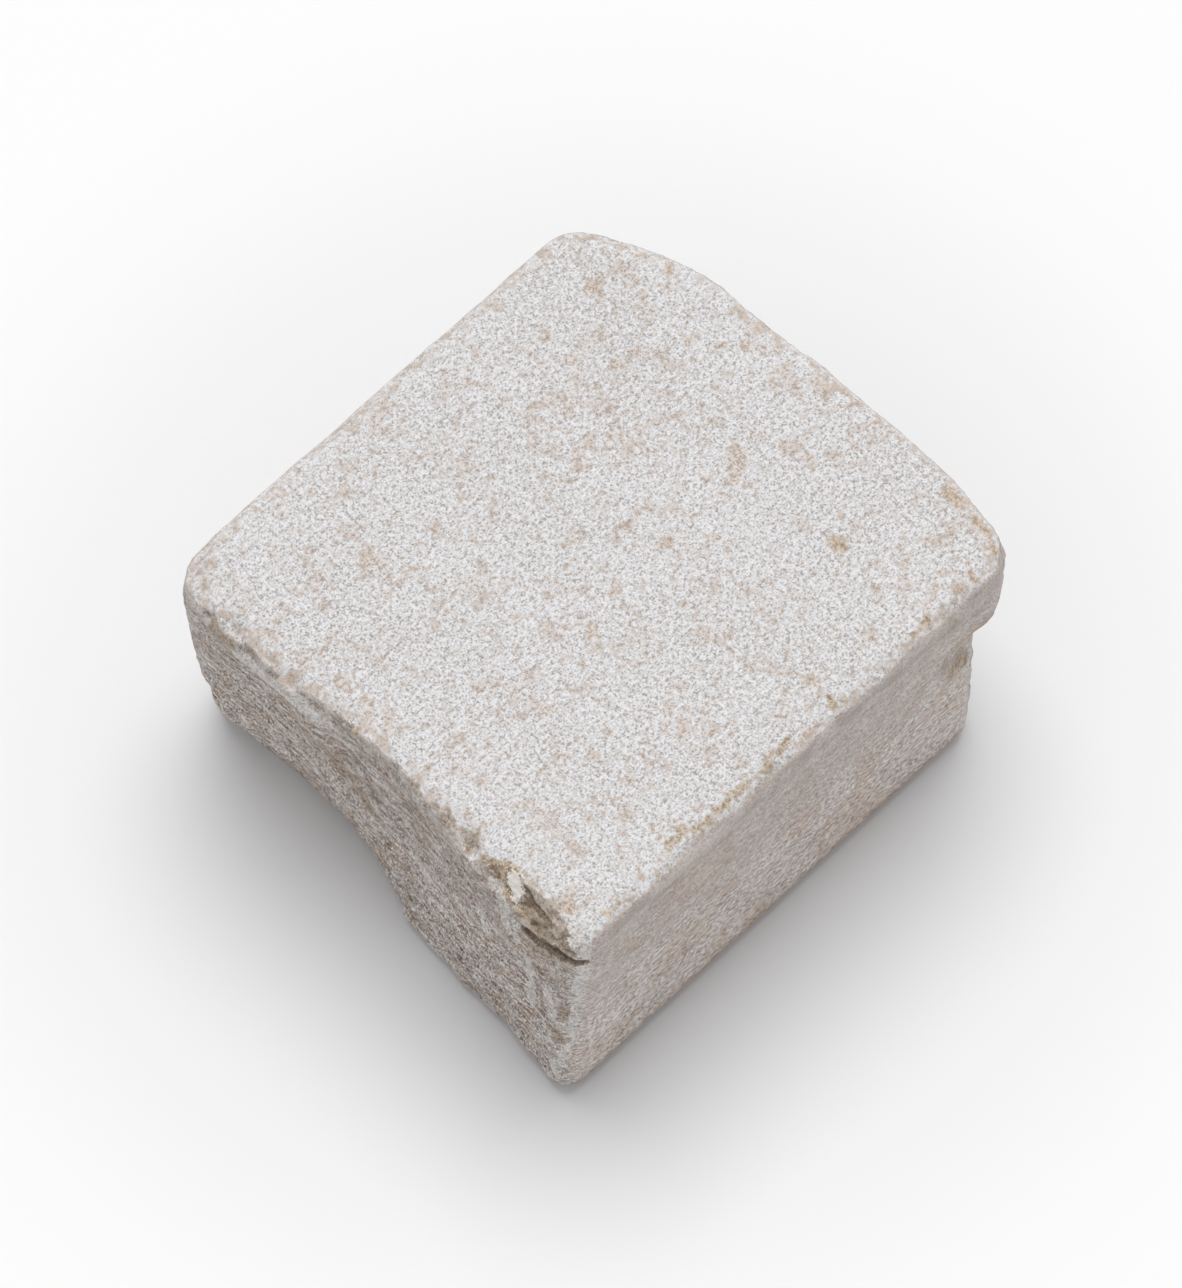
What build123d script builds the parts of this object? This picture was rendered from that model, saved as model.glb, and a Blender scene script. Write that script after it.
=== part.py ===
"""Tumbled limestone paving stone, one piece of stone, in millimetres.

A slab is sawn into strips, the strips are split to length, and the stones are
tumbled. So the bed, the wearing face and the two long sides are flat, the two
ends are rough and wavy, and every edge and corner is worn round and chipped.

X runs from one split end to the other, Y from one sawn side to the other and
Z up from the bed. The origin is at the bottom centre of the stone.
"""
from build123d import *
from math import radians, tan
import os

# Main sizes: across the sawn sides, bed to wearing face, and between the mean split planes
WIDTH = 100.0
HEIGHT = 56.0
LENGTH = 104.0

# Wear left by the tumbling: radii of the top edges and the upright corners, and
# widths of the bevels round the bed and on the upright edge of the undercut
TOP_EDGE_WEAR = 3.5
CORNER_WEAR = 8.5
SHARP_CORNER_WEAR = 4.5
BED_EDGE_WEAR = 2.8
BROKEN_EDGE_WEAR = 3.0

# Relief of the split ends: how far each stands out past LENGTH / 2.
# Each row runs from the -Y side to the +Y side, and the rows go from the bed up.
NEAR_END_RELIEF = (
    (8.2, 4.5, 3.0, 1.5, -5.5, -5.0, -4.5, -8.0),
    (2.5, 2.0, 1.5, 0.0, -1.0, -1.0, -0.5, -1.5),
    (-1.5, 0.0, 0.5, -1.5, -1.0, 0.5, 0.5, -1.0),
)
FAR_END_RELIEF = (
    (-4.0, -3.0, -2.0, -1.0, -1.5, -2.5, -4.5, -7.5),
    (-1.5, 0.5, 1.5, 1.0, 0.5, 0.5, -4.0, -8.5),
    (-0.3, 1.8, 3.6, 3.2, 3.0, 0.6, -5.0, -10.0),
)

# Undercut at the far end, beside the -Y side, where a piece broke off below a ledge
UNDERCUT_DEPTH = 8.6
UNDERCUT_HEIGHT = 38.5
UNDERCUT_RISE = 6.0
UNDERCUT_ANGLE = 16.0

# Flake scars on the top edges: where along the edge, as a share of half its
# length from the middle, then the length and the depth of the hollow
NEAR_TOP_SCARS = ((-0.80, 13.0, 2.4), (-0.62, 14.0, 2.0), (-0.38, 8.0, 1.2))
SAWN_TOP_SCARS = ((-0.46, 16.0, 0.8), (-0.12, 7.0, 0.7), (0.72, 9.0, 0.8))
BACK_TOP_SCARS = ((-0.27, 14.0, 0.7), (0.30, 10.0, 0.6))

# How far the cutting shapes reach past the stone
REACH = 6.0
STOCK = 30.0


def split_surface(relief, side):
    """The wavy surface of a split end, on the -X side (-1) or the +X side (+1)."""
    span = WIDTH + 2 * REACH
    rows = []
    for level, offsets in enumerate(relief):
        z = -REACH + level * (HEIGHT + 2 * REACH) / (len(relief) - 1)
        row = []
        for step, offset in enumerate(offsets):
            y = -span / 2 + step * span / (len(offsets) - 1)
            row.append((side * (LENGTH / 2 + offset), y, z))
        rows.append(row)
    return Face.make_surface_from_array_of_points(rows)


def upright_edges(solid):
    """The upright edges that run the whole height, where the split ends meet the sawn sides."""
    edges = []
    for edge in solid.edges():
        size = edge.bounding_box().size
        if size.Z > 0.9 * HEIGHT and size.Y < 1:
            edges.append(edge)
    return ShapeList(edges).sort_by(lambda edge: edge.center().X + edge.center().Y)


def undercut():
    """What broke off below the ledge: deepest at the -Y side, fading out along the end."""
    wall_x = LENGTH / 2 - UNDERCUT_DEPTH
    inner_x = wall_x - 2 * UNDERCUT_DEPTH
    outline = Plane.XZ * Polyline(
        (-UNDERCUT_DEPTH, -REACH),
        (-UNDERCUT_DEPTH, UNDERCUT_HEIGHT),
        (0, UNDERCUT_HEIGHT),
        (UNDERCUT_DEPTH, UNDERCUT_HEIGHT + UNDERCUT_RISE),
        (STOCK, UNDERCUT_HEIGHT + UNDERCUT_RISE),
        (STOCK, -REACH),
        close=True,
    )
    broken = extrude(make_face(outline), WIDTH, both=True)
    broken = Pos(wall_x, -WIDTH / 2, 0) * Rot(0, 0, -UNDERCUT_ANGLE) * broken

    plan = Polyline(
        (inner_x, -WIDTH / 2),
        (wall_x, -WIDTH / 2),
        (wall_x + WIDTH * tan(radians(UNDERCUT_ANGLE)), WIDTH / 2),
        (inner_x, WIDTH / 2),
        close=True,
    )
    kept = extrude(make_face(plan), UNDERCUT_HEIGHT)
    corner = kept.edges().filter_by(Axis.Z).sort_by(lambda edge: edge.center().X - edge.center().Y)[-1]
    kept = chamfer(corner, BROKEN_EDGE_WEAR)
    rim = []
    for edge in kept.edges():
        middle = edge.center()
        if middle.Z < 0.01 and middle.Y < 0.49 * WIDTH and middle.X > inner_x + 0.01:
            rim.append(edge)
    kept = chamfer(rim, BED_EDGE_WEAR)
    return broken - kept


def scar(point, outward, length, depth):
    """A shell-shaped hollow, cut by a ball that dips into the worn edge at the point."""
    radius = (length**2 / 4 + depth**2) / (2 * depth)
    worn = TOP_EDGE_WEAR * (2**0.5 - 1)
    centre = Vector(*point) + Vector(*outward).normalized() * (radius - depth - worn)
    return Pos(centre.X, centre.Y, centre.Z) * Sphere(radius)


# The sawn strip, cut off by the two split ends
stone = Box(LENGTH + 2 * STOCK, WIDTH, HEIGHT, align=(Align.CENTER, Align.CENTER, Align.MIN))
for relief, side in ((NEAR_END_RELIEF, -1), (FAR_END_RELIEF, 1)):
    stone -= extrude(split_surface(relief, side), 2 * STOCK, dir=(side, 0, 0))

# Upright corners, the front one sharper than the other three
stone = fillet(upright_edges(stone)[1:], CORNER_WEAR)
stone = fillet(upright_edges(stone)[0], SHARP_CORNER_WEAR)

# Worn edges round the wearing face and the bed
stone = fillet(stone.faces().sort_by(Axis.Z)[-1].outer_wire().edges(), TOP_EDGE_WEAR)
stone = chamfer(stone.faces().sort_by(Axis.Z)[0].outer_wire().edges(), BED_EDGE_WEAR)

stone -= undercut()

# Flake scars along the top edges
for share, length, depth in NEAR_TOP_SCARS:
    stone -= scar((-LENGTH / 2, share * WIDTH / 2, HEIGHT), (-1, 0, 0.7), length, depth)
for share, length, depth in SAWN_TOP_SCARS:
    stone -= scar((share * LENGTH / 2, -WIDTH / 2, HEIGHT), (0, -1, 1), length, depth)
for share, length, depth in BACK_TOP_SCARS:
    stone -= scar((share * LENGTH / 2, WIDTH / 2, HEIGHT), (0, 1, 1), length, depth)

# The origin goes to the bottom centre
box = stone.bounding_box()
stone = Pos(-box.center().X, -box.center().Y, -box.min.Z) * stone

os.makedirs("parts", exist_ok=True)
export_step(stone, "parts/paving_stone.step")
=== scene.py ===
"""Dresses the limestone paving stone: its broken and worn surface, its material, light and camera."""
import itertools
import math

import bmesh
import bpy
import numpy as np
from mathutils import Matrix, Vector


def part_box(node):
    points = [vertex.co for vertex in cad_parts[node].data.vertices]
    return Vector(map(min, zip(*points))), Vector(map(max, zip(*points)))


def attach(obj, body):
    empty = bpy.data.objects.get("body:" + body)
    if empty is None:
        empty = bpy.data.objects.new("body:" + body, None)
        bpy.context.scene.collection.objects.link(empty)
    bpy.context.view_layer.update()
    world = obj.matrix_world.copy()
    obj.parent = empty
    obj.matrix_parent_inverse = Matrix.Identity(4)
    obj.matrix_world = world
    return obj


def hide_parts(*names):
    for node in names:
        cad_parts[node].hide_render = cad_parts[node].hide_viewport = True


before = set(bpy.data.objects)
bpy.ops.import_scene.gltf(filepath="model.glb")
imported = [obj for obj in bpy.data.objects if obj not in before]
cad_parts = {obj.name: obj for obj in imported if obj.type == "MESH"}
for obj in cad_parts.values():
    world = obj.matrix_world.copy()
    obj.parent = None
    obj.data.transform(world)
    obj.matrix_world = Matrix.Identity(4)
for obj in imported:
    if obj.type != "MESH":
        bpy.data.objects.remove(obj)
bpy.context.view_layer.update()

# Lengths on the stone are in millimetres, and Blender's own are in metres
MM = 0.001
LOW, HIGH = (np.array(corner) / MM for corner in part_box("paving_stone"))
TOP = HIGH[2]

# The squares of the mesh, and the box at the front corner in which each is cut into four
VOXEL = 0.74
FINE_LOW, FINE_HIGH = (-56, -50, 44), (-44, -22, 57)

# The photo's viewpoint, with a longer lens, so that this one stone fills the picture
CAMERA_POINT = Vector((-0.4280, -0.4614, 1.3887))
CAMERA_UP = Vector((0.6102, 0.6103, 0.5052))
CAMERA_TARGET = Vector((0, 0, 0.025))
CAMERA_LENS = 244.6
SENSOR_WIDTH = 36
CLIP_START, CLIP_END = 0.1, 20

# The sky's and the sun's strength, the way to the sun, and how wide it is in degrees
SKY_LIGHT = 0.46
SUN_LIGHT = 1.86
SUN_FROM = Vector((0.27, 0.26, 1.0))
SUN_SIZE = 44.0

# Half the floor's width in metres, and how far from the stone's middle its painted shadow fades and it
# turns near white
FLOOR_REACH = 4.0
FLOOR_SHADOW_FADE = (55.0, 150.0)

# The split ends swell a little, and then shell-shaped breaks take it off again: how many, their
# slant in degrees as a mean and a spread, their lengths, and widths and depths as shares of those
SWELL = 0.3
SHELLS = 130
SHELL_SLANT = (-8, 28)
SHELL_LENGTHS = (7, 26)
SHELL_WIDTHS = (0.25, 0.5)
SHELL_DEPTHS = (0.012, 0.032)

# How far from the near end, from the front side and from the top or the foot an edge reaches
END_ZONE = 12
SIDE_ZONE = 6
EDGE_ZONE = 3.0

# The undercut, which nothing is knocked out of: it is past this x, before this y and below this z
UNDERCUT = (30, -25, 46)

# Chips knocked off by the tumbling: the edge they are on, how they lean from it, the least and
# greatest length and depth, and how many. Their width is a share of the length.
CHIPS = (
    ("near top", (-0.45, 0, -0.05), (2.5, 7), (0.2, 0.7), 80),
    ("left near top", (0, 0, 0.05), (6, 10), (0.4, 0.8), 8),
    ("front top", (0, -0.1, 0.3), (1.6, 4.5), (0.10, 0.40), 120),
    ("back top", (0, 0, 0), (3, 8), (0.05, 0.30), 30),
    ("hidden foot", (0, 0, 0), (3, 8), (0.15, 0.5), 40),
    ("seen foot", (0, 0, 0), (2, 5), (0.05, 0.25), 50),
    ("other corners", (0, 0, 0), (3, 10), (0.1, 0.4), 40),
    ("front corner", (0, 0, 0), (2, 5), (0.05, 0.3), 24),
)
CHIP_WIDTH = 0.6

# The piece off the front corner: at each y, the x of its rim on the wearing face, then the x
# and z of its foot, where the slope ends on a shelf. No part of it lies past BREAK_END in x.
BREAK = (
    (-24.6, -50.0, -50.3, 55.4),
    (-27.0, -48.6, -49.8, 54.2),
    (-30.3, -47.4, -50.0, 53.0),
    (-32.8, -47.4, -50.2, 52.0),
    (-35.3, -47.9, -50.0, 51.4),
    (-37.6, -47.8, -50.4, 50.6),
    (-40.0, -47.6, -50.8, 49.6),
    (-43.3, -48.2, -50.9, 49.2),
    (-45.8, -49.2, -50.5, 49.4),
    (-47.5, -49.8, -50.3, 49.8),
    (-49.4, -50.4, -50.6, 51.0),
)
BREAK_END = -44
SHELF_SLOPE = 0.35
SHELF_DEPTH = 3

# The groove on that shelf, the hollows in the slope, and cracks in the split end with their
# widths, each as the corners of a line
GROOVE = (
    (-51.7, -37.4, 48.6), (-51.5, -40.2, 48.6), (-51.3, -43.0, 48.9), (-50.7, -46.0, 49.4),
    (-49.4, -49.2, 49.5),
)
HOLLOWS = (
    ((-50.7, -33.5, 52.0), (-49.8, -35.3, 52.4), (-48.9, -37.2, 53.2), (-49.1, -39.0, 53.0),
     (-49.9, -41.2, 52.4)),
    ((-48.1, -34.0, 54.8), (-48.6, -36.0, 53.8), (-48.9, -37.2, 53.2)),
    ((-50.7, -38.4, 51.2), (-50.2, -40.6, 51.8)),
)
CRACKS = (
    (1.0, (-51.1, -15.6, 43.5), (-51.8, -20.8, 45.2), (-52.2, -25.0, 45.1)),
    (0.9, (-52.9, -20.6, 15.3), (-53.0, -26.1, 19.0)),
    (0.9, (-52.6, -33.6, 43.8), (-52.5, -37.8, 42.2)),
    (0.9, (-50.6, -11.0, 48.2), (-51.3, -18.1, 48.0), (-51.9, -22.0, 46.6)),
)
GROOVE_WIDTH, HOLLOW_WIDTH = 2.9, 1.6
GROOVE_DEPTH, HOLLOW_DEPTH, CRACK_DEPTH = 1.0, 0.6, 0.35

# The chip below the ledge at the far end of the front sawn side: its two hollows, and the
# length, width and depth of each
LEDGE_CHIP = ((38.5, -50.0, 33.0), (40.8, -49.8, 31.0))
LEDGE_CHIP_SIZE = (9, 6, 0.8)

# Two round flakes off the arris behind the front corner: the middle and length of each, their
# width as a share of the length, and their depth
FLAKES = (((-49.1, -16.1, 54.7), 4.2), ((-48.9, -21.5, 54.8), 5.0))
FLAKE_WIDTH = 0.75
FLAKE_DEPTH = 0.7

# Marks that show in the photo: a width, then the corners of a line or the middle of a spot
TAN_MARKS = (
    (5.4, (32.6, -2.6, 56), (31.2, -4.4, 56)), (3.6, (28.4, -5.5, 56)),
    (4.0, (32.9, -25.6, 56), (32.6, -27.2, 56)), (3.4, (49.0, 30.5, 56)),
    (3.8, (-7.8, -8.6, 56)), (3.4, (12.6, -6.4, 56)), (3.0, (30.5, 24.1, 56)),
    (5.0, (53.3, -33.0, 56), (53.3, -35.2, 56)), (4.2, (-44.4, 14.2, 56)),
    (3.0, (-43.9, 8.7, 56)), (3.6, (-43.5, 3.6, 56)), (2.2, (-35.8, 39.5, 56)),
    (4.4, (-25.6, 27.4, 56), (-24.2, 25.4, 56)), (3.0, (-40.4, 48.0, 56)),
    (2.2, (-44.1, 39.1, 56)), (2.4, (-23.4, 43.2, 56)), (3.6, (40.9, -11.9, 56)),
    (4.0, (37.0, 37.2, 56)), (3.4, (42.4, 30.1, 56)), (3.8, (25.2, 30.0, 56)),
    (3.6, (42.2, 18.4, 56)), (4.2, (29.8, 23.6, 56)), (3.4, (48.0, 10.4, 56)),
    (3.8, (-23.7, -13.9, 56)), (3.0, (14.3, 28.2, 56)), (3.6, (-10.7, -32.9, 56)),
    (2.6, (6.3, -32.5, 56)), (2.8, (-9.0, -31.2, 56)), (4.0, (11.9, -41.2, 56)),
    (2.6, (53.2, -38.5, 56), (52.4, -43.0, 55.8), (50.4, -46.4, 55.5)),
    (2.6, (33.8, -46.8, 56)), (3.2, (44.6, -46.9, 56)), (2.8, (41.4, -47.2, 56)),
    (2.8, (-2.6, -45.9, 56)), (2.6, (-26.4, -46.0, 56)), (2.4, (4.1, -47.2, 56)),
    (2.6, (13.2, -47.3, 56)), (3.0, (-45.2, -41.2, 56), (-45.8, -42.8, 56)),
    (2.8, (-33.6, -46.7, 56)), (2.8, (-42.4, -47.4, 56)), (2.8, (-39.8, -47.3, 56)),
    (3.0, (-43.6, -30.7, 56)), (3.0, (-48.8, 6.0, 55.2)),
)
GOLD_MARKS = (
    (2.6, (-49.4, -25.8, 55.0), (-48.4, -28.2, 55.0), (-47.0, -31.2, 55.6)),
    (3.4, (-49.2, -29.6, 53.9)), (3.0, (-50.4, -32.0, 52.2)),
    (3.4, (-50.5, -35.6, 51.6), (-50.4, -37.4, 51.2)), (3.0, (-51.6, -39.3, 49.6)),
    (1.4, (-51.9, -41.0, 47.4), (-51.4, -44.8, 47.8), (-50.6, -47.8, 48.2)),
    (3.6, (36.6, -50.0, 32.8), (40.6, -49.8, 31.4)),
    (3.0, (39.6, -49.6, 35.4), (41.4, -49.4, 30.6)),
    (2.4, (0.9, -46.4, 56), (-1.8, -46.9, 56)), (2.2, (-4.6, -47.7, 56), (-6.0, -47.6, 56)),
    (2.4, (-9.4, -47.0, 56), (-12.4, -46.9, 56)), (2.4, (-14.0, -47.2, 56), (-16.3, -46.9, 56)),
    (2.0, (-18.0, -46.8, 56), (-21.6, -46.8, 56)), (2.6, (-22.6, -45.6, 56), (-25.2, -45.8, 56)),
    (2.2, (11.9, -45.6, 56), (10.8, -47.2, 56)), (2.2, (33.8, -47.0, 56), (31.6, -47.4, 56)),
    (2.2, (29.7, -47.2, 56)), (2.0, (53.2, -39.0, 56), (52.6, -42.0, 56)),
    (2.2, (50.6, -46.2, 55.6)), (1.7, (-7.6, -50, 6.0), (-12.0, -50, 3.4)),
    (1.4, (-3.0, -50, 6.6)), (2.2, (32.6, -26.0, 56), (32.5, -27.2, 56)),
)
BROWN_MARKS = (
    (5.0, (-49.2, -16.1, 54.7)), (6.0, (-49.0, -21.5, 54.8)), (3.2, (-48.9, -7.0, 55.2)),
    (2.8, (-48.7, -13.1, 55.4)), (3.0, (-49.4, 4.6, 55.0)), (2.6, (-48.4, -8.5, 55.4)),
    (3.2, (-52.5, -47.0, 31.6), (-52.7, -47.0, 28.6)),
    (4.6, (-53.6, -46.2, 22.6), (-53.6, -46.9, 20.0)), (3.4, (-54.4, -46.4, 14.6)),
    (2.4, (-51.4, -47.9, 37.0)), (2.2, (-52.8, -48.4, 20.6)),
    (3.6, (-49.6, -37.2, 52.2), (-50.6, -40.4, 50.6)), (2.6, (-48.2, -34.6, 54.6)),
    (2.0, (-50.9, -33.4, 51.8)), (4.0, (-51.6, 37.4, 52.8), (-51.6, 33.4, 53.2)),
    (5.4, (-50.8, 13.0, 41.0), (-50.6, 8.0, 38.5)), (6.0, (-50.5, 4.6, 36.0), (-50.6, -0.5, 33.5)),
    (2.6, (-50.8, -8.6, 42.0), (-51.0, -11.4, 42.4)),
)
PALE_MARKS = (
    (4.2, (-48.6, -48.2, 54.0), (-49.2, -48.6, 48.0), (-50.6, -48.3, 38.0)),
    (3.8, (-50.6, -48.3, 38.0), (-51.8, -48.2, 25.0), (-53.4, -47.8, 16.5), (-55.2, -46.8, 7.0)),
    # The thin line across the front sawn side is a painted highlight, where a slight ledge catches the
    # light
    (1.3, (37.5, -50, 32.0), (31.6, -50, 31.3), (27.0, -50, 29.4), (22.0, -50, 23.0),
     (18.6, -50, 18.0)),
    (4.2, (-52.0, -48.2, 44.0)),
    (3.2, (-52.5, -38.2, 39.4), (-53.0, -39.6, 31.0), (-53.4, -40.5, 24.3)),
    (3.0, (-52.6, -43.2, 34.5), (-52.9, -45.6, 27.0)),
    (3.2, (-52.5, -26.9, 40.2), (-52.8, -29.4, 34.9)),
    (2.2, (-52.0, -13.6, 23.4), (-52.4, -18.4, 25.0), (-52.6, -21.8, 24.1)),
    (3.4, (-51.2, -31.4, 50.9), (-52.0, -33.6, 47.0), (-52.6, -35.0, 43.6)),
    (2.4, (-51.9, -36.0, 48.6), (-52.6, -36.6, 43.0)),
    (5.0, (-48.2, -31.4, 55.0), (-49.5, -33.2, 53.0)), (4.0, (-48.6, -47.6, 54.4)),
    (3.6, (-49.4, -46.4, 54.4)),
    (4.4, (-51.6, 32.0, 51.6), (-51.2, 22.0, 52.2), (-50.6, 12.0, 52.4)),
    (2.6, (-50.9, -28.6, 52.4), (-51.6, -33.0, 50.4)), (1.8, (-10.6, -50, 24.2)),
    (1.6, (-13.8, -50, 11.5)), (2.0, (34.0, -50, 31.0), (29.0, -50, 28.0)),
    (2.6, (-51.8, -10.0, 33.0), (-51.8, -14.5, 32.0)),
    (2.4, (-52.3, -21.0, 36.0), (-52.5, -25.0, 31.0)),
)
# The groove, hollows and cracks are painted dark brown, as dirt and as painted shade in these recesses
CRACK_DIRT_AND_SHADE_MARKS = ((GROOVE_WIDTH, *GROOVE), *((HOLLOW_WIDTH, *line) for line in HOLLOWS), *CRACKS)

# How ragged the marks and cracks come out: the size of their waves, and how far these reach
RAGGED_SIZE = 1.8
RAGGED_REACH = 0.35

# The sheet on which the surface is laid out flat, and the gap between its charts
SHEET = 230.0
SHEET_GAP = 2.0


def srgb(red, green, blue):
    """A colour as it shows on a screen, 0 to 255, as a shader takes it."""
    parts = []
    for value in (red, green, blue):
        value /= 255
        parts.append(value / 12.92 if value <= 0.04045 else ((value + 0.055) / 1.055) ** 2.4)
    return (*parts, 1.0)


# Smooth noise

# What brings the noise to between about -1 and 1, and how far apart its octaves' seeds are
NOISE_FACTOR = 1.7
SEED_STEP = 31
random = np.random.default_rng(12)
SHUFFLE = random.permutation(256)
DIRECTIONS = random.normal(size=(256, 3))
DIRECTIONS /= np.linalg.norm(DIRECTIONS, axis=1)[:, None]


def noise(points, seed):
    """Smooth noise with one bump or hollow to each unit of length."""
    cell = np.floor(points).astype(int)
    part = points - cell
    fade = part**3 * (part * (part * 6 - 15) + 10)
    total = np.zeros(len(points))
    for corner in itertools.product((0, 1), repeat=3):
        spot = cell + corner
        key = np.full(len(points), seed)
        for axis in range(3):
            key = SHUFFLE[(key + spot[:, axis]) & 255]
        weight = np.prod(np.where(corner, fade, 1 - fade), axis=1)
        total += weight * ((part - corner) * DIRECTIONS[key]).sum(axis=1)
    return NOISE_FACTOR * total


def rough(points, size, octaves, seed, ridged=False):
    """Noise of several sizes, each half as large and half as strong as the one before."""
    total = np.zeros(len(points))
    for octave in range(octaves):
        value = noise(points * 2**octave / size, seed + SEED_STEP * octave)
        if ridged:
            value = 1 - 2 * np.abs(value)
        total += value / 2**octave
    return total


def step(value, low, high):
    """0 up to low and 1 from high, with a smooth change between, also where low is the higher."""
    share = np.clip((value - low) / (high - low), 0, 1)
    return share * share * (3 - 2 * share)


def unit(vectors):
    """The vectors with a length of 1."""
    return vectors / np.maximum(np.linalg.norm(vectors, axis=-1, keepdims=True), 1e-9)


# The surface of the stone as arrays

def remeshed(mesh):
    """An even mesh of small squares with the shape of another mesh."""
    source = bpy.data.objects.new("remesh", mesh.copy())
    bpy.context.scene.collection.objects.link(source)
    modifier = source.modifiers.new("remesh", "REMESH")
    modifier.mode = "VOXEL"
    modifier.voxel_size = VOXEL * MM
    graph = bpy.context.evaluated_depsgraph_get()
    result = bpy.data.meshes.new_from_object(source.evaluated_get(graph))
    bpy.data.objects.remove(source)
    return result


def refine(mesh, low, high):
    """Cuts the squares between two corners of a box, in millimetres, into four each."""
    work = bmesh.new()
    work.from_mesh(mesh)
    chosen = set()
    for face in work.faces:
        centre = face.calc_center_median() / MM
        if all(low[axis] < centre[axis] < high[axis] for axis in range(3)):
            chosen.update(face.edges)
    bmesh.ops.subdivide_edges(work, edges=list(chosen), cuts=1, use_grid_fill=True)
    work.to_mesh(mesh)
    work.free()


def write(mesh, points):
    """Moves the mesh's points to these, in millimetres."""
    mesh.vertices.foreach_set("co", (points * MM).ravel())
    mesh.update()


def read(mesh):
    """The mesh's points in millimetres, their normals and its edges."""
    points = np.empty(3 * len(mesh.vertices))
    normals = np.empty(3 * len(mesh.vertices))
    edges = np.empty(2 * len(mesh.edges), int)
    mesh.vertices.foreach_get("co", points)
    mesh.vertices.foreach_get("normal", normals)
    mesh.edges.foreach_get("vertices", edges)
    return points.reshape(-1, 3) / MM, normals.reshape(-1, 3), edges.reshape(-1, 2)


def spread(values, edges, rounds):
    """Averages a value of every point with its neighbours', so many times over."""
    flat = values.reshape(len(values), -1)
    first, second = edges.T
    count = np.bincount(edges.ravel(), minlength=len(flat)) + 1
    for _ in range(rounds):
        total = flat.copy()
        for column in range(flat.shape[1]):
            total[:, column] += np.bincount(first, flat[second, column], len(flat))
            total[:, column] += np.bincount(second, flat[first, column], len(flat))
        flat = total / count[:, None]
    return flat.reshape(values.shape)


def distance_to_line(points, line):
    """How far each point is from a line through the given corners, a single corner too."""
    line = np.array(line, float).reshape(-1, 3)
    nearest = np.linalg.norm(points - line[0], axis=1)
    for start, end in zip(line, line[1:]):
        run = end - start
        share = np.clip((points - start) @ run / (run @ run), 0, 1)
        nearest = np.minimum(nearest, np.linalg.norm(points - start - share[:, None] * run, axis=1))
    return nearest


def ragged(points):
    """The points moved about by smooth noise, so that marks measured from them come out ragged."""
    sway = np.stack([rough(points, RAGGED_SIZE, 2, 51 + axis) for axis in range(3)], axis=1)
    return points + RAGGED_REACH * sway


def paint(points, marks):
    """1 in the middle of each mark and 0 at its rim: a mark is a width and the corners of its line."""
    mask = np.zeros(len(points))
    for width, *line in marks:
        mask = np.maximum(mask, 1 - distance_to_line(points, line) * 2 / width)
    return mask


# Breaks, wear and relief

def scoop(points, centre, outward, along, length, width, depth):
    """Sinks the points under a shell-shaped hollow, no point by much more than its depth."""
    outward = unit(np.asarray(outward, float))
    across = unit(np.cross(outward, along))
    along = np.cross(across, outward)
    offset = points - centre
    near = np.linalg.norm(offset, axis=1) < 1.5 * max(length, width)
    offset = offset[near]
    floor = depth * ((offset @ along * 2 / length) ** 2 + (offset @ across * 2 / width) ** 2 - 1)
    sunk = np.clip(offset @ outward - floor, 0, 1.6 * depth)
    points[near] -= sunk[:, None] * outward


def break_ends(points, normals, outward, undercut):
    """Swells the two split ends a little, and knocks shell-shaped breaks out of them."""
    x, _, z = points.T.copy()
    ends = step(np.abs(outward[:, 0]), 0.5, 0.9)
    points[:, 0] += SWELL * ends * np.sign(x)
    base = points.copy()

    # They stay below the worn top edge, and lower at the far end, where it has a ledge
    reach = TOP - 6 - 8 * (x > 0)
    chosen = (np.abs(normals[:, 0]) > 0.75) & (z > 4) & (z < reach) & ~undercut
    for place in random.choice(np.flatnonzero(chosen), SHELLS):
        face = unit(outward[place] + random.normal(scale=0.07, size=3))
        slant = math.radians(random.normal(*SHELL_SLANT))
        along = np.array((0, math.cos(slant), math.sin(slant)))
        length = random.uniform(*SHELL_LENGTHS)
        width = length * random.uniform(*SHELL_WIDTHS)
        depth = length * random.uniform(*SHELL_DEPTHS)
        scoop(points, base[place], face, along, length, width, depth)


def worn_edges(points, sharp, undercut):
    """Which points lie on each of the stone's edges. Sharp is 0 on a flat face and more on an edge."""
    x, y, z = points.T
    near_end = x < LOW[0] + END_ZONE
    front_side = y < LOW[1] + SIDE_ZONE
    top = (z > TOP - EDGE_ZONE) & (sharp > 0.07)
    foot = (z < EDGE_ZONE) & (sharp > 0.07)
    upright = (z > 5) & (z < TOP - 6) & (sharp > 0.04) & ~undercut
    front_corner = near_end & (y < LOW[1] + 10)
    near_top = top & near_end & (y > -24)
    return {
        "near top": near_top,
        "left near top": near_top & (y > 0),
        "front top": top & front_side & (x > BREAK_END),
        "back top": top & ~near_end & ~front_side & (x < HIGH[0] - 8),
        "hidden foot": foot & ~near_end & ~front_side,
        "seen foot": foot & (near_end | front_side),
        "other corners": upright & ~front_corner,
        "front corner": upright & front_corner,
    }


def chip_edge(points, chosen, outward, lean, lengths, depths, count):
    """Knocks small flakes off an edge, at random ones of the chosen points."""
    base = points.copy()
    for place in random.choice(np.flatnonzero(chosen), count):
        length = random.uniform(*lengths) * random.uniform(0.6, 1.0)
        depth = random.uniform(*depths)
        face = unit(outward[place] + lean + random.normal(scale=0.12, size=3))
        if abs(face[2]) > 0.25:
            along = np.cross((0, 0, 1), face)
        else:
            along = np.array((0, 0, 1.0))
        along = along + random.normal(scale=0.15, size=3)
        scoop(points, base[place], face, along, length, CHIP_WIDTH * length, depth)


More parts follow.
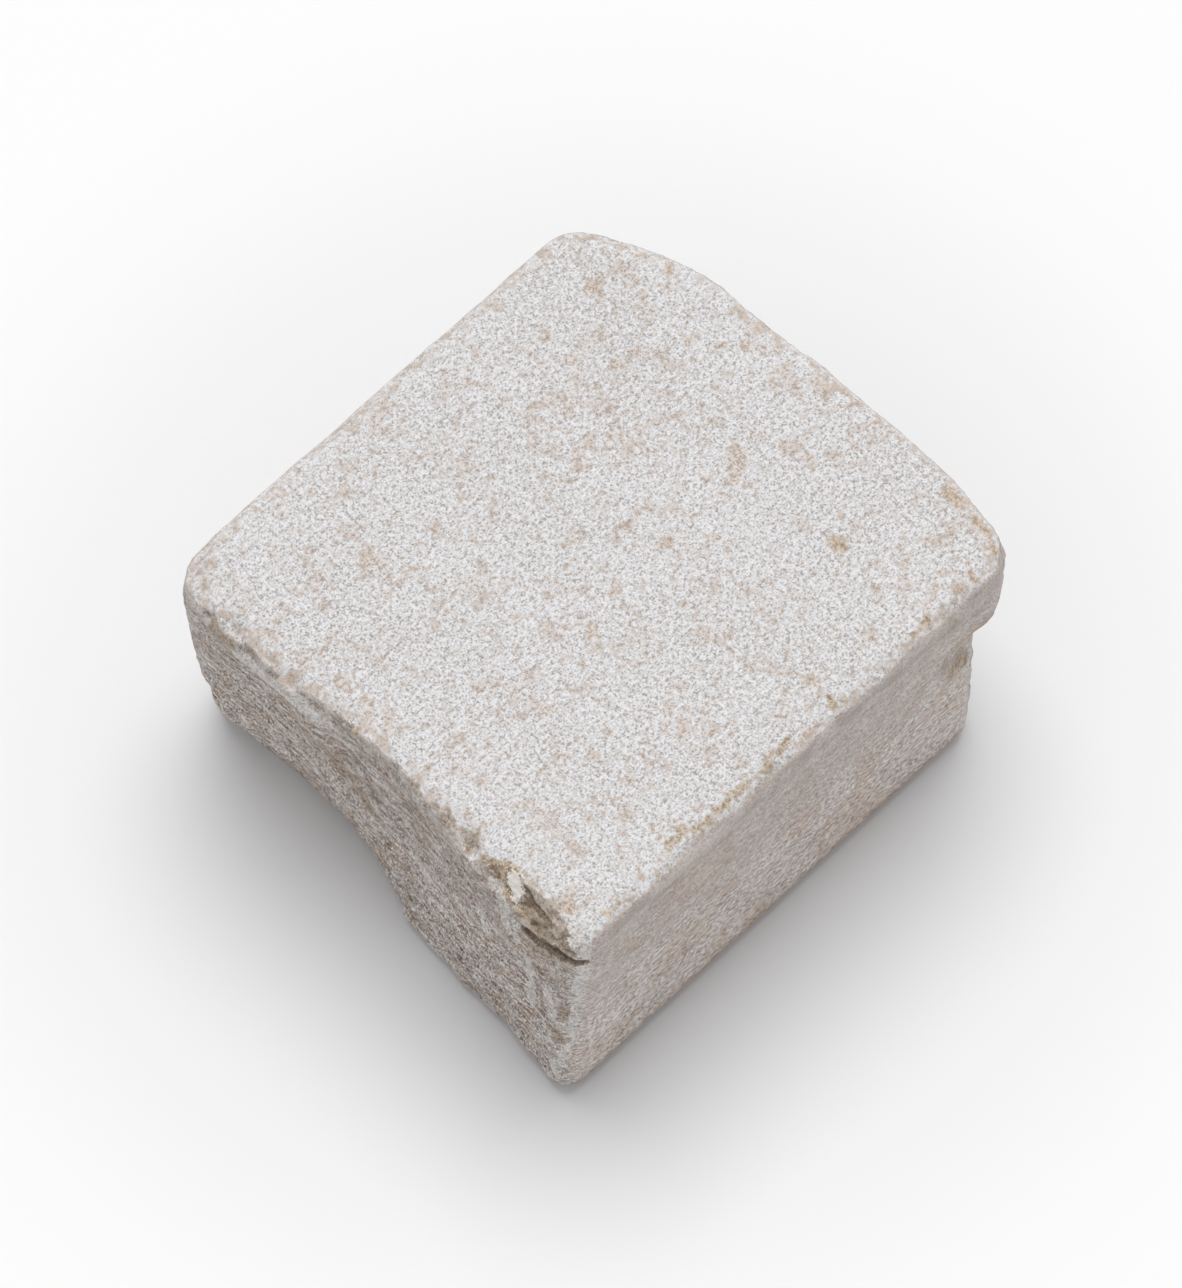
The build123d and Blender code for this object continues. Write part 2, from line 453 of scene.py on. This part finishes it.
def break_shape(y):
    """The x of the break's rim, and the x and z of its foot, at each y, and whether it reaches there."""
    table = np.array(BREAK)[::-1]
    rim, foot_x, foot_z = (np.interp(y, table[:, 0], table[:, column]) for column in (1, 2, 3))
    along = np.stack([y, 0 * y, 0 * y], axis=1)
    wander = 0.45 * rough(along, size=2.6, octaves=2, seed=21)
    rim = rim + wander
    foot_x = np.minimum(foot_x + 0.7 * wander, rim - 0.3)
    return rim, foot_x, foot_z, (y > table[0, 0]) & (y < table[-1, 0])


def break_corner(points):
    """The piece off the front corner: a slope down from the wearing face to a shelf on the split end."""
    x, y, z = points.T
    rim, foot_x, foot_z, inside = break_shape(y)
    share = (rim - x) / (rim - foot_x)
    flat = points * (1, 1, 0)
    ledges = 0.8 * step(y, -40, -37) * rough(flat, size=2.4, octaves=2, seed=25, ridged=True)
    slope = TOP - share * (TOP - foot_z) - np.maximum(ledges * step(share, 0.0, 0.3), -0.5)
    uneven = 0.35 * rough(flat, size=3.0, octaves=2, seed=23)
    shelf = foot_z - SHELF_SLOPE * (foot_x - x) + uneven
    cap = np.where(share < 1, slope, np.maximum(shelf, foot_z - SHELF_DEPTH))
    bitten = (share > 0) & (z > cap) & inside & (x < BREAK_END)
    points[bitten, 2] = cap[bitten]


def broken(points):
    """1 on the broken slope and shelf of the front corner, and 0 elsewhere."""
    x, y, z = points.T
    rim, _, foot_z, inside = break_shape(y)
    return inside * (x < BREAK_END) * step(rim - x, -0.3, 0.3) * step(z, foot_z - 1.6, foot_z - 0.4)


def break_up(points, normals, edges):
    """The larger breaks, made in place: split ends, worn edges, and the piece off the front corner."""
    round_about = spread(normals, edges, rounds=25)
    outward = unit(round_about)
    sharp = 1 - np.linalg.norm(round_about, axis=1)
    x, y, z = points.T
    undercut = (x > UNDERCUT[0]) & (y < UNDERCUT[1]) & (z < UNDERCUT[2])
    chosen = worn_edges(points, sharp, undercut)

    break_ends(points, normals, outward, undercut)
    for edge, lean, lengths, depths, count in CHIPS:
        chip_edge(points, chosen[edge], outward, lean, lengths, depths, count)
    for place, length in FLAKES:
        width = FLAKE_WIDTH * length
        scoop(points, np.array(place), (-0.6, 0, 0.8), (0, 1, 0), length, width, FLAKE_DEPTH)
    for place in LEDGE_CHIP:
        scoop(points, np.array(place), (0.25, -0.85, 0.5), (1, 0, -0.5), *LEDGE_CHIP_SIZE)
    break_corner(points)


def roughen(points, normals, edges):
    """The finer relief, made in place, over the whole surface. Gives back 1 on the split ends."""
    side = np.abs(spread(normals, edges, rounds=8))
    split = step(side[:, 0], 0.45, 0.75)
    sawn = step(side[:, 1], 0.6, 0.9)
    flat = step(side[:, 2], 0.7, 0.9)
    x, y, _ = points.T

    # Fibrous ridges on the split ends, faint lines on the sawn sides, and grain on all of it
    bend = 1.5 * rough(points, size=14.0, octaves=2, seed=41)
    bent = points * (1, 0.4, 1) + np.stack([x * 0, x * 0, bend], axis=1)
    relief = split * (0.24 * rough(bent, size=3.6, octaves=3, seed=3, ridged=True) - 0.10)
    relief += split * 0.12 * rough(points, size=2.0, octaves=2, seed=12)
    relief += sawn * 0.06 * rough(points * (0.4, 1, 1), size=3.0, octaves=3, seed=9)
    relief += flat * (0.07 * rough(points, size=2.6, octaves=2, seed=5) - 0.06)
    edge = (1 - split - sawn - flat).clip(0, 1)
    relief += edge * 0.12 * rough(points, size=2.2, octaves=3, seed=7)
    crumbled = broken(points) * step(y, -41, -38)
    relief += crumbled * 0.22 * rough(points, size=1.7, octaves=2, seed=29, ridged=True)

    uneven = ragged(points)
    relief -= GROOVE_DEPTH * step(distance_to_line(uneven, GROOVE), 1.0, 0.0)
    for line in HOLLOWS:
        relief -= HOLLOW_DEPTH * step(distance_to_line(uneven, line), 0.7, 0.0)
    for width, *line in CRACKS:
        relief -= CRACK_DEPTH * step(distance_to_line(uneven, line), 0.6 * width, 0.0)
    points += normals * relief[:, None]
    return split


def unwrap(mesh, edges):
    """Lays the surface out flat: each face goes to the one of six charts that it looks towards."""
    points, normals, _ = read(mesh)
    soft = spread(normals, edges, rounds=4)
    corner = np.empty(len(mesh.loops), int)
    mesh.loops.foreach_get("vertex_index", corner)
    sizes = np.empty(len(mesh.polygons), int)
    mesh.polygons.foreach_get("loop_total", sizes)
    face = np.repeat(np.arange(len(sizes)), sizes)
    looks = np.stack([np.bincount(face, soft[corner, axis]) for axis in range(3)], axis=1)
    axis = np.abs(looks).argmax(axis=1)
    positive = looks[np.arange(len(looks)), axis] > 0

    # Each chart: the axis it looks along and which way, the axis that runs across it and which
    # way, the axis that rises in it, and its left and bottom on the sheet
    length, width, height = HIGH - LOW
    gap = SHEET_GAP
    second_row, third_row = width + 2 * gap, width + height + 3 * gap
    charts = (
        (2, True, 0, 1, 1, gap, gap),
        (2, False, 0, -1, 1, length + 2 * gap, gap),
        (1, False, 0, 1, 2, gap, second_row),
        (1, True, 0, -1, 2, length + 2 * gap, second_row),
        (0, False, 1, -1, 2, gap, third_row),
        (0, True, 1, 1, 2, width + 2 * gap, third_row),
    )
    flat = np.zeros((len(corner), 2))
    for look, side, run, turn, rise, left, bottom in charts:
        inside = ((axis == look) & (positive == side))[face]
        spot = points[corner[inside]]
        start = LOW[run] if turn > 0 else -HIGH[run]
        flat[inside, 0] = left + turn * spot[:, run] - start
        flat[inside, 1] = bottom + spot[:, rise] - LOW[rise]
    layer = mesh.uv_layers.new(name="OFBake")
    layer.data.foreach_set("uv", (flat / SHEET).ravel())


def surface_masks(mesh, split):
    """What the material asks of every point: its part of the stone, its relief and its marks."""
    points, normals, edges = read(mesh)
    smooth = spread(points, edges, rounds=12)
    near = spread(normals, edges, rounds=2)
    wide = spread(normals, edges, rounds=26)[:, 2]
    uneven = ragged(points)
    return {
        "split": split,
        "turn": (near[:, 2] + wide) / 2 + 0.25 * near[:, :2].max(axis=1).clip(0, 1),
        "wide": wide,
        "relief": np.clip(0.5 + ((points - smooth) * normals).sum(axis=1) / 0.8, 0, 1),
        "tan": paint(uneven, TAN_MARKS),
        "gold": paint(uneven, GOLD_MARKS),
        "brown": paint(uneven, BROWN_MARKS),
        "pale": paint(uneven, PALE_MARKS),
        "crack_dirt_and_shade": paint(uneven, CRACK_DIRT_AND_SHADE_MARKS),
        "broken": broken(points),
    }


def build_stone():
    """The solid remeshed, broken up, remeshed again and roughened, and never past its own box."""
    mesh = remeshed(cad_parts["paving_stone"].data)
    points, normals, edges = read(mesh)
    break_up(points, normals, edges)
    write(mesh, points)

    mesh = remeshed(mesh)
    refine(mesh, FINE_LOW, FINE_HIGH)
    points, normals, edges = read(mesh)
    split = roughen(points, normals, edges)
    write(mesh, np.clip(points, LOW, HIGH))

    for name, values in surface_masks(mesh, split).items():
        mesh.attributes.new(name, "FLOAT", "POINT").data.foreach_set("value", values.astype(np.float32))
    unwrap(mesh, edges)
    mesh.shade_smooth()
    stone = bpy.data.objects.new("limestone_paving_stone", mesh)
    bpy.context.scene.collection.objects.link(stone)
    return stone


# Materials

class Shader:
    """Makes the nodes of a material or a world, and joins them by their sockets."""

    def __init__(self, owner):
        self.owner = owner
        owner.use_nodes = True
        self.tree = owner.node_tree
        self.tree.nodes.clear()

    def node(self, kind, inputs=None, **settings):
        """Makes one node. Its inputs are sockets to join or values to set."""
        made = self.tree.nodes.new(kind)
        for key, value in settings.items():
            setattr(made, key, value)
        for key, value in (inputs or {}).items():
            if isinstance(value, bpy.types.NodeSocket):
                self.tree.links.new(value, made.inputs[key])
            else:
                made.inputs[key].default_value = value
        return made

    def attribute(self, name):
        return self.node("ShaderNodeAttribute", attribute_name=name).outputs["Fac"]

    def math(self, operation, *values):
        return self.node("ShaderNodeMath", dict(enumerate(values)), operation=operation).outputs[0]

    def times(self, first, second):
        return self.math("MULTIPLY", first, second)

    def sum(self, *terms):
        """Adds up sockets, numbers, and (socket, factor) pairs."""
        total = None
        for term in terms:
            value, factor = term if isinstance(term, tuple) else (term, 1.0)
            if total is None:
                total = self.times(value, factor)
            else:
                total = self.math("MULTIPLY_ADD", value, factor, total)
        return total

    def step(self, value, low, high, start=0.0, end=1.0):
        """From start at low to end at high, with a smooth change between."""
        inputs = {"Value": value, "From Min": low, "From Max": high, "To Min": start, "To Max": end}
        return self.node("ShaderNodeMapRange", inputs, interpolation_type="SMOOTHSTEP").outputs["Result"]

    def mix(self, share, first, second, blend="MIX"):
        """The first colour, with a share of the second laid over it."""
        inputs = {"Factor": share, 6: first, 7: second}
        return self.node("ShaderNodeMix", inputs, data_type="RGBA", blend_type=blend).outputs[2]

    def ramp(self, value, *stops):
        """A colour for each value, from stops of a position and a colour."""
        made = self.node("ShaderNodeValToRGB", {"Fac": value})
        steps = made.color_ramp.elements
        while len(steps) < len(stops):
            steps.new(0.5)
        for element, (position, colour) in zip(steps, stops):
            element.position = position
            element.color = colour
        return made.outputs["Color"]

    def place(self):
        """The spot on the stone in millimetres."""
        spot = self.node("ShaderNodeTexCoord").outputs["Object"]
        return self.stretched(spot, (1 / MM,) * 3)

    def height(self):
        """The height above the bed in millimetres."""
        return self.node("ShaderNodeSeparateXYZ", {0: self.place()}).outputs["Z"]

    def stretched(self, spot, factors):
        """The spot times a factor for each axis: noise in it is long where the factor is small."""
        return self.node("ShaderNodeVectorMath", {0: spot, 1: factors}, operation="MULTIPLY").outputs[0]

    def bent(self, spot, size, reach):
        """The spot moved about by a reach in millimetres, so that lines through it wave."""
        inputs = {"Vector": spot, "Scale": 1 / size, "Detail": 2.0}
        sway = self.node("ShaderNodeTexNoise", inputs).outputs["Color"]
        inputs = {0: sway, 1: (reach,) * 3, 2: spot}
        return self.node("ShaderNodeVectorMath", inputs, operation="MULTIPLY_ADD").outputs[0]

    def noise(self, spot, size, detail=2.0, roughness=0.5, distortion=0.0):
        """Noise between about 0.25 and 0.75, with a bump to each size in millimetres."""
        inputs = {"Vector": spot, "Scale": 1 / size, "Detail": detail, "Roughness": roughness,
                  "Distortion": distortion}
        return self.node("ShaderNodeTexNoise", inputs).outputs["Fac"]


class StoneShader(Shader):
    """A shader with the noises and the mesh's masks that all faces of the stone share."""

    def __init__(self, owner):
        super().__init__(owner)
        self.spot = self.place()
        self.grain = self.noise(self.spot, 0.80, detail=1.5, roughness=0.6)
        self.fine = self.noise(self.spot, 0.38, detail=1.0)
        self.speckle = self.sum((self.grain, 0.44), (self.fine, 0.56))
        self.mottle = self.noise(self.spot, 2.2, detail=3.0, roughness=0.65, distortion=0.3)
        self.patches = self.noise(self.spot, 9.0)
        self.clouds = self.noise(self.spot, 24.0)
        self.swept = self.bent(self.spot, 14.0, 6.0)
        self.fibres = self.noise(self.stretched(self.swept, (1.0, 0.22, 1.0)), 0.8, 3.0, 0.65)
        self.low = self.step(self.sum(self.height(), (self.patches, 16.0), -8.0), 38.0, 22.0)
        self.wide = self.attribute("wide")
        self.turn = self.attribute("turn")
        self.ends = self.attribute("split")
        self.relief = self.attribute("relief")
        self.broken = self.attribute("broken")
        self.pale = self.attribute("pale")


def wearing_face(s):
    """White grains, small grey pits and soft tan clusters, more of them near the edge."""
    top = s.ramp(
        s.sum(s.speckle, (s.clouds, 0.06), -0.03),
        (0.36, srgb(170, 161, 155)), (0.44, srgb(200, 196, 194)),
        (0.52, srgb(219, 218, 219)), (0.61, srgb(235, 235, 238)),
    )
    rim = s.step(s.wide, 0.99, 0.82)
    cluster = s.step(s.sum(s.mottle, (s.patches, 0.45), (rim, 0.06), (s.fine, 0.3), -0.375), 0.53, 0.66)
    top = s.mix(s.times(cluster, 0.75), top, srgb(243, 230, 219), "MULTIPLY")
    edge_cluster = s.step(s.sum(s.mottle, (rim, 0.10), (s.fine, 0.5), -0.25), 0.60, 0.70)
    return s.mix(s.times(edge_cluster, s.times(rim, 0.55)), top, srgb(192, 174, 157))


def sawn_side(s):
    """Taupe, with fine lines, white dashes and dark nicks along the stone, more of them low down."""
    lines = s.noise(s.stretched(s.spot, (0.10, 0.10, 1.0)), 0.5, detail=2.0, roughness=0.6)
    haze = s.noise(s.stretched(s.spot, (0.4, 0.4, 1.0)), 7.0, detail=3.0, roughness=0.55)
    dashes = s.noise(s.stretched(s.spot, (0.18, 0.18, 1.0)), 0.34, detail=1.0)
    nicks = s.noise(s.stretched(s.spot, (0.36, 0.36, 1.0)), 0.28, detail=0.5)
    sawn = s.ramp(
        s.sum((lines, 0.38), (haze, 0.08), (s.fine, 0.54)),
        (0.42, srgb(167, 154, 146)), (0.50, srgb(200, 189, 184)), (0.58, srgb(225, 217, 213)),
    )
    for mask, strength, colour in (
        (s.step(dashes, 0.60, 0.64), s.sum((s.low, 0.65), 0.20), srgb(242, 238, 235)),
        (s.step(nicks, 0.58, 0.63), s.sum((s.low, 0.35), 0.38), srgb(246, 243, 241)),
        (s.step(nicks, 0.41, 0.36), s.sum((s.low, 0.25), 0.30), srgb(124, 108, 98)),
    ):
        sawn = s.mix(s.times(mask, strength), sawn, colour)
    return s.mix(s.step(s.patches, 0.46, 0.64, 0.0, 0.6), sawn, srgb(248, 238, 228), "MULTIPLY")


def split_end(s):
    """Browner, with fibrous streaks, white crystals and dark pits."""
    threads = s.noise(s.stretched(s.swept, (1.0, 0.10, 1.0)), 0.7, detail=1.0)
    crystals = s.noise(s.spot, 0.46, detail=1.0)
    pits = s.noise(s.spot, 0.9, detail=1.0)
    fibrous = s.step(s.noise(s.spot, 15.0, detail=1.0), 0.42, 0.58, 0.15, 1.0)
    coarse = s.step(s.sum(s.height(), (s.patches, 20.0), -10.0), 50.0, 36.0, 0.35, 1.0)
    split = s.ramp(
        s.sum((s.fibres, 0.35), (s.speckle, 0.65)),
        (0.41, srgb(102, 89, 80)), (0.46, srgb(153, 142, 134)),
        (0.53, srgb(190, 180, 174)), (0.59, srgb(238, 234, 232)),
    )
    stains = s.noise(s.spot, 6.0, detail=3.0, roughness=0.6)
    brown = s.step(s.sum(stains, (s.fine, 0.2), -0.10), 0.50, 0.62)
    split = s.mix(s.times(brown, 0.8), split, srgb(236, 220, 205), "MULTIPLY")
    for mask, strength, colour in (
        (s.step(threads, 0.57, 0.67), s.times(fibrous, 0.75), srgb(234, 230, 228)),
        (s.step(threads, 0.42, 0.34), s.times(fibrous, 0.65), srgb(114, 100, 90)),
        (s.step(crystals, 0.58, 0.64), s.times(coarse, 0.75), srgb(244, 242, 240)),
        (s.step(pits, 0.38, 0.31), s.times(coarse, 0.6), srgb(112, 98, 88)),
    ):
        split = s.mix(s.times(mask, strength), split, colour)
    return split


def wear_sides(s, sides):
    """Makes the sides smoother under the wearing face, and stains their foot."""
    waves = s.noise(s.stretched(s.bent(s.spot, 10.0, 3.0), (0.3, 0.3, 1.0)), 2.2)
    worn = s.ramp(
        s.sum((waves, 0.55), (s.speckle, 0.45)),
        (0.42, srgb(170, 158, 152)), (0.58, srgb(202, 192, 187)),
    )
    worn = s.mix(s.times(s.ends, 0.55), worn, srgb(158, 147, 139))
    band = s.step(s.sum(s.wide, (s.low, -0.30), (s.mottle, 0.3), -0.15), -0.25, 0.34, 0.0, 0.75)
    sides = s.mix(s.times(band, s.step(s.ends, 0.0, 1.0, 1.0, 0.6)), sides, worn)
    foot = s.step(s.sum(s.wide, (s.mottle, 0.5), -0.25), -0.06, -0.30)
    return s.mix(s.times(foot, s.step(s.ends, 0.0, 1.0, 0.6, 0.2)), sides, srgb(150, 128, 111))


def add_dust_shade_and_rubbed_ridges(s, colour):
    """Hollows hold brown dust and painted shade, and ridges are rubbed white."""
    # Painted shade: the hollows of the relief are darkened brown, as dust and as the shade that falls in
    # them
    hollow_dust_and_shade = s.step(s.sum(s.relief, (s.mottle, 0.2), -0.10), 0.42, 0.18)
    colour = s.mix(s.times(hollow_dust_and_shade, 0.5), colour, srgb(148, 129, 112))
    ridge = s.step(s.sum(s.relief, (s.mottle, 0.3), -0.15), 0.62, 0.88)
    return s.mix(s.times(ridge, s.sum((s.ends, 0.20), 0.15)), colour, srgb(224, 220, 217))


def add_marks(s, colour):
    """White bruises and a painted highlight line, tan, golden and brown spots, and the groove, hollows
    and cracks darkened with dirt and painted shade.
    """
    jag = s.sum((s.mottle, 1.3), (s.fine, 1.1), -1.2)
    tan_strength = s.step(s.wide, 0.99, 0.90, 0.55, 0.80)
    for mark, strength, dark, light in (
        (s.pale, s.sum((s.broken, 0.25), 0.62), srgb(202, 198, 195), srgb(240, 238, 236)),
        (s.attribute("tan"), tan_strength, srgb(170, 148, 127), srgb(218, 202, 186)),
        (s.attribute("gold"), 0.80, srgb(146, 124, 102), srgb(210, 192, 168)),
        (s.attribute("brown"), 0.80, srgb(132, 114, 97), srgb(184, 168, 153)),
        # Painted shade: the groove, hollows and cracks get dark brown, as dirt and as the shade deep in
        # them
        (s.attribute("crack_dirt_and_shade"), 0.85, srgb(88, 73, 58), srgb(126, 108, 90)),
    ):
        mask = s.step(s.sum(mark, jag), 0.24, 0.50)
        colour = s.mix(s.times(mask, strength), colour, s.ramp(s.speckle, (0.42, dark), (0.58, light)))
    crushed = s.step(s.sum(s.times(s.pale, s.broken), jag), 0.35, 0.60)
    return s.mix(s.times(crushed, 0.75), colour, srgb(252, 247, 238))


def limestone():
    """Pale grained wearing face, taupe sawn and split sides, white bruises and tan broken spots."""
    s = StoneShader(bpy.data.materials.new("limestone"))
    sides = wear_sides(s, s.mix(s.ends, sawn_side(s), split_end(s)))

    # The white face ends with a ragged line on the rounded edge
    edge = s.sum(s.turn, (s.mottle, 0.45), (s.fine, 0.20), -0.325)
    colour = s.mix(s.step(edge, 0.66, 0.74), sides, wearing_face(s))

    # Tan crumbs on the break at the front corner
    crumb = s.ramp(
        s.sum((s.mottle, 0.6), (s.speckle, 0.4)),
        (0.40, srgb(128, 109, 90)), (0.47, srgb(172, 156, 141)),
        (0.53, srgb(198, 186, 174)), (0.60, srgb(230, 221, 209)),
    )
    colour = s.mix(s.times(s.broken, 0.85), colour, crumb)
    colour = add_marks(s, add_dust_shade_and_rubbed_ridges(s, colour))

    # The finest grain, as bumps, strongest on the split ends
    bumpy = s.sum((s.turn, 0.4), (s.ends, 0.8), 0.1)
    rough_grain = s.sum((s.grain, 1.0), (s.times(s.ends, s.fibres), 1.4))
    height = s.sum((s.fine, 0.4), s.times(bumpy, rough_grain))
    bump = s.node("ShaderNodeBump", {"Strength": 0.7, "Distance": 0.25 * MM, "Height": height})
    surface = s.node("ShaderNodeBsdfPrincipled", {
        "Base Color": colour,
        "Roughness": s.step(s.grain, 0.3, 0.7, 0.92, 0.78),
        "Specular IOR Level": 0.3,
        "Normal": bump.outputs["Normal"],
    })
    s.node("ShaderNodeOutputMaterial", {"Surface": surface.outputs[0]})
    return s.owner


def floor_with_painted_shadow():
    """Painted shadow: light grey round the stone and near white further off to the camera, and white to
    the light.
    """
    s = Shader(bpy.data.materials.new("floor"))
    rays = s.node("ShaderNodeLightPath").outputs["Is Camera Ray"]
    far = s.node("ShaderNodeVectorMath", {0: s.place()}, operation="LENGTH").outputs["Value"]
    # Painted shadow: the floor is greyer near the stone, as the camera sees it
    seen = s.ramp(s.step(far, *FLOOR_SHADOW_FADE), (0.0, srgb(238, 239, 241)), (1.0, srgb(252, 252, 252)))
    colour = s.mix(rays, (0.90, 0.90, 0.90, 1), seen)
    surface = s.node("ShaderNodeBsdfDiffuse", {"Color": colour})
    s.node("ShaderNodeOutputMaterial", {"Surface": surface.outputs[0]})
    return s.owner


# Floor, light and camera

def add_floor():
    mesh = bpy.data.meshes.new("floor")
    corners = [(x * FLOOR_REACH, y * FLOOR_REACH, 0) for x, y in ((-1, -1), (1, -1), (1, 1), (-1, 1))]
    mesh.from_pydata(corners, [], [(0, 1, 2, 3)])
    floor = bpy.data.objects.new("floor", mesh)
    bpy.context.scene.collection.objects.link(floor)
    mesh.materials.append(floor_with_painted_shadow())


def add_sun():
    sun = bpy.data.lights.new("sun", "SUN")
    sun.energy = SUN_LIGHT
    sun.angle = math.radians(SUN_SIZE)
    lamp = bpy.data.objects.new("sun", sun)
    lamp.rotation_euler = SUN_FROM.to_track_quat("Z", "Y").to_euler()
    bpy.context.scene.collection.objects.link(lamp)


def add_sky():
    """White to the camera and in reflections, and at its own strength as light."""
    world = bpy.data.worlds.new("studio")
    bpy.context.scene.world = world
    s = Shader(world)
    rays = s.node("ShaderNodeLightPath").outputs
    mirrored = s.math("MAXIMUM", rays["Is Glossy Ray"], rays["Is Transmission Ray"])
    seen = s.math("MAXIMUM", rays["Is Camera Ray"], mirrored)
    strength = s.node("ShaderNodeMapRange", {"Value": seen, "To Min": SKY_LIGHT, "To Max": 1.0})
    inputs = {"Color": (1, 1, 1, 1), "Strength": strength.outputs["Result"]}
    background = s.node("ShaderNodeBackground", inputs)
    s.node("ShaderNodeOutputWorld", {"Surface": background.outputs[0]})


def add_camera():
    camera = bpy.data.cameras.new("camera")
    camera.sensor_width = SENSOR_WIDTH
    camera.lens = CAMERA_LENS
    camera.clip_start = CLIP_START
    camera.clip_end = CLIP_END
    forward = (CAMERA_TARGET - CAMERA_POINT).normalized()
    right = forward.cross(CAMERA_UP).normalized()
    up = right.cross(forward)
    turn = Matrix((right, up, -forward)).transposed().to_4x4()
    holder = bpy.data.objects.new("camera", camera)
    holder.matrix_world = Matrix.Translation(CAMERA_POINT) @ turn
    bpy.context.scene.collection.objects.link(holder)
    bpy.context.scene.camera = holder


stone = build_stone()
stone.data.materials.clear()
stone.data.materials.append(limestone())
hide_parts("paving_stone")
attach(stone, "root")
add_floor()
add_sun()
add_sky()
add_camera()
bpy.context.scene.view_settings.view_transform = "Standard"
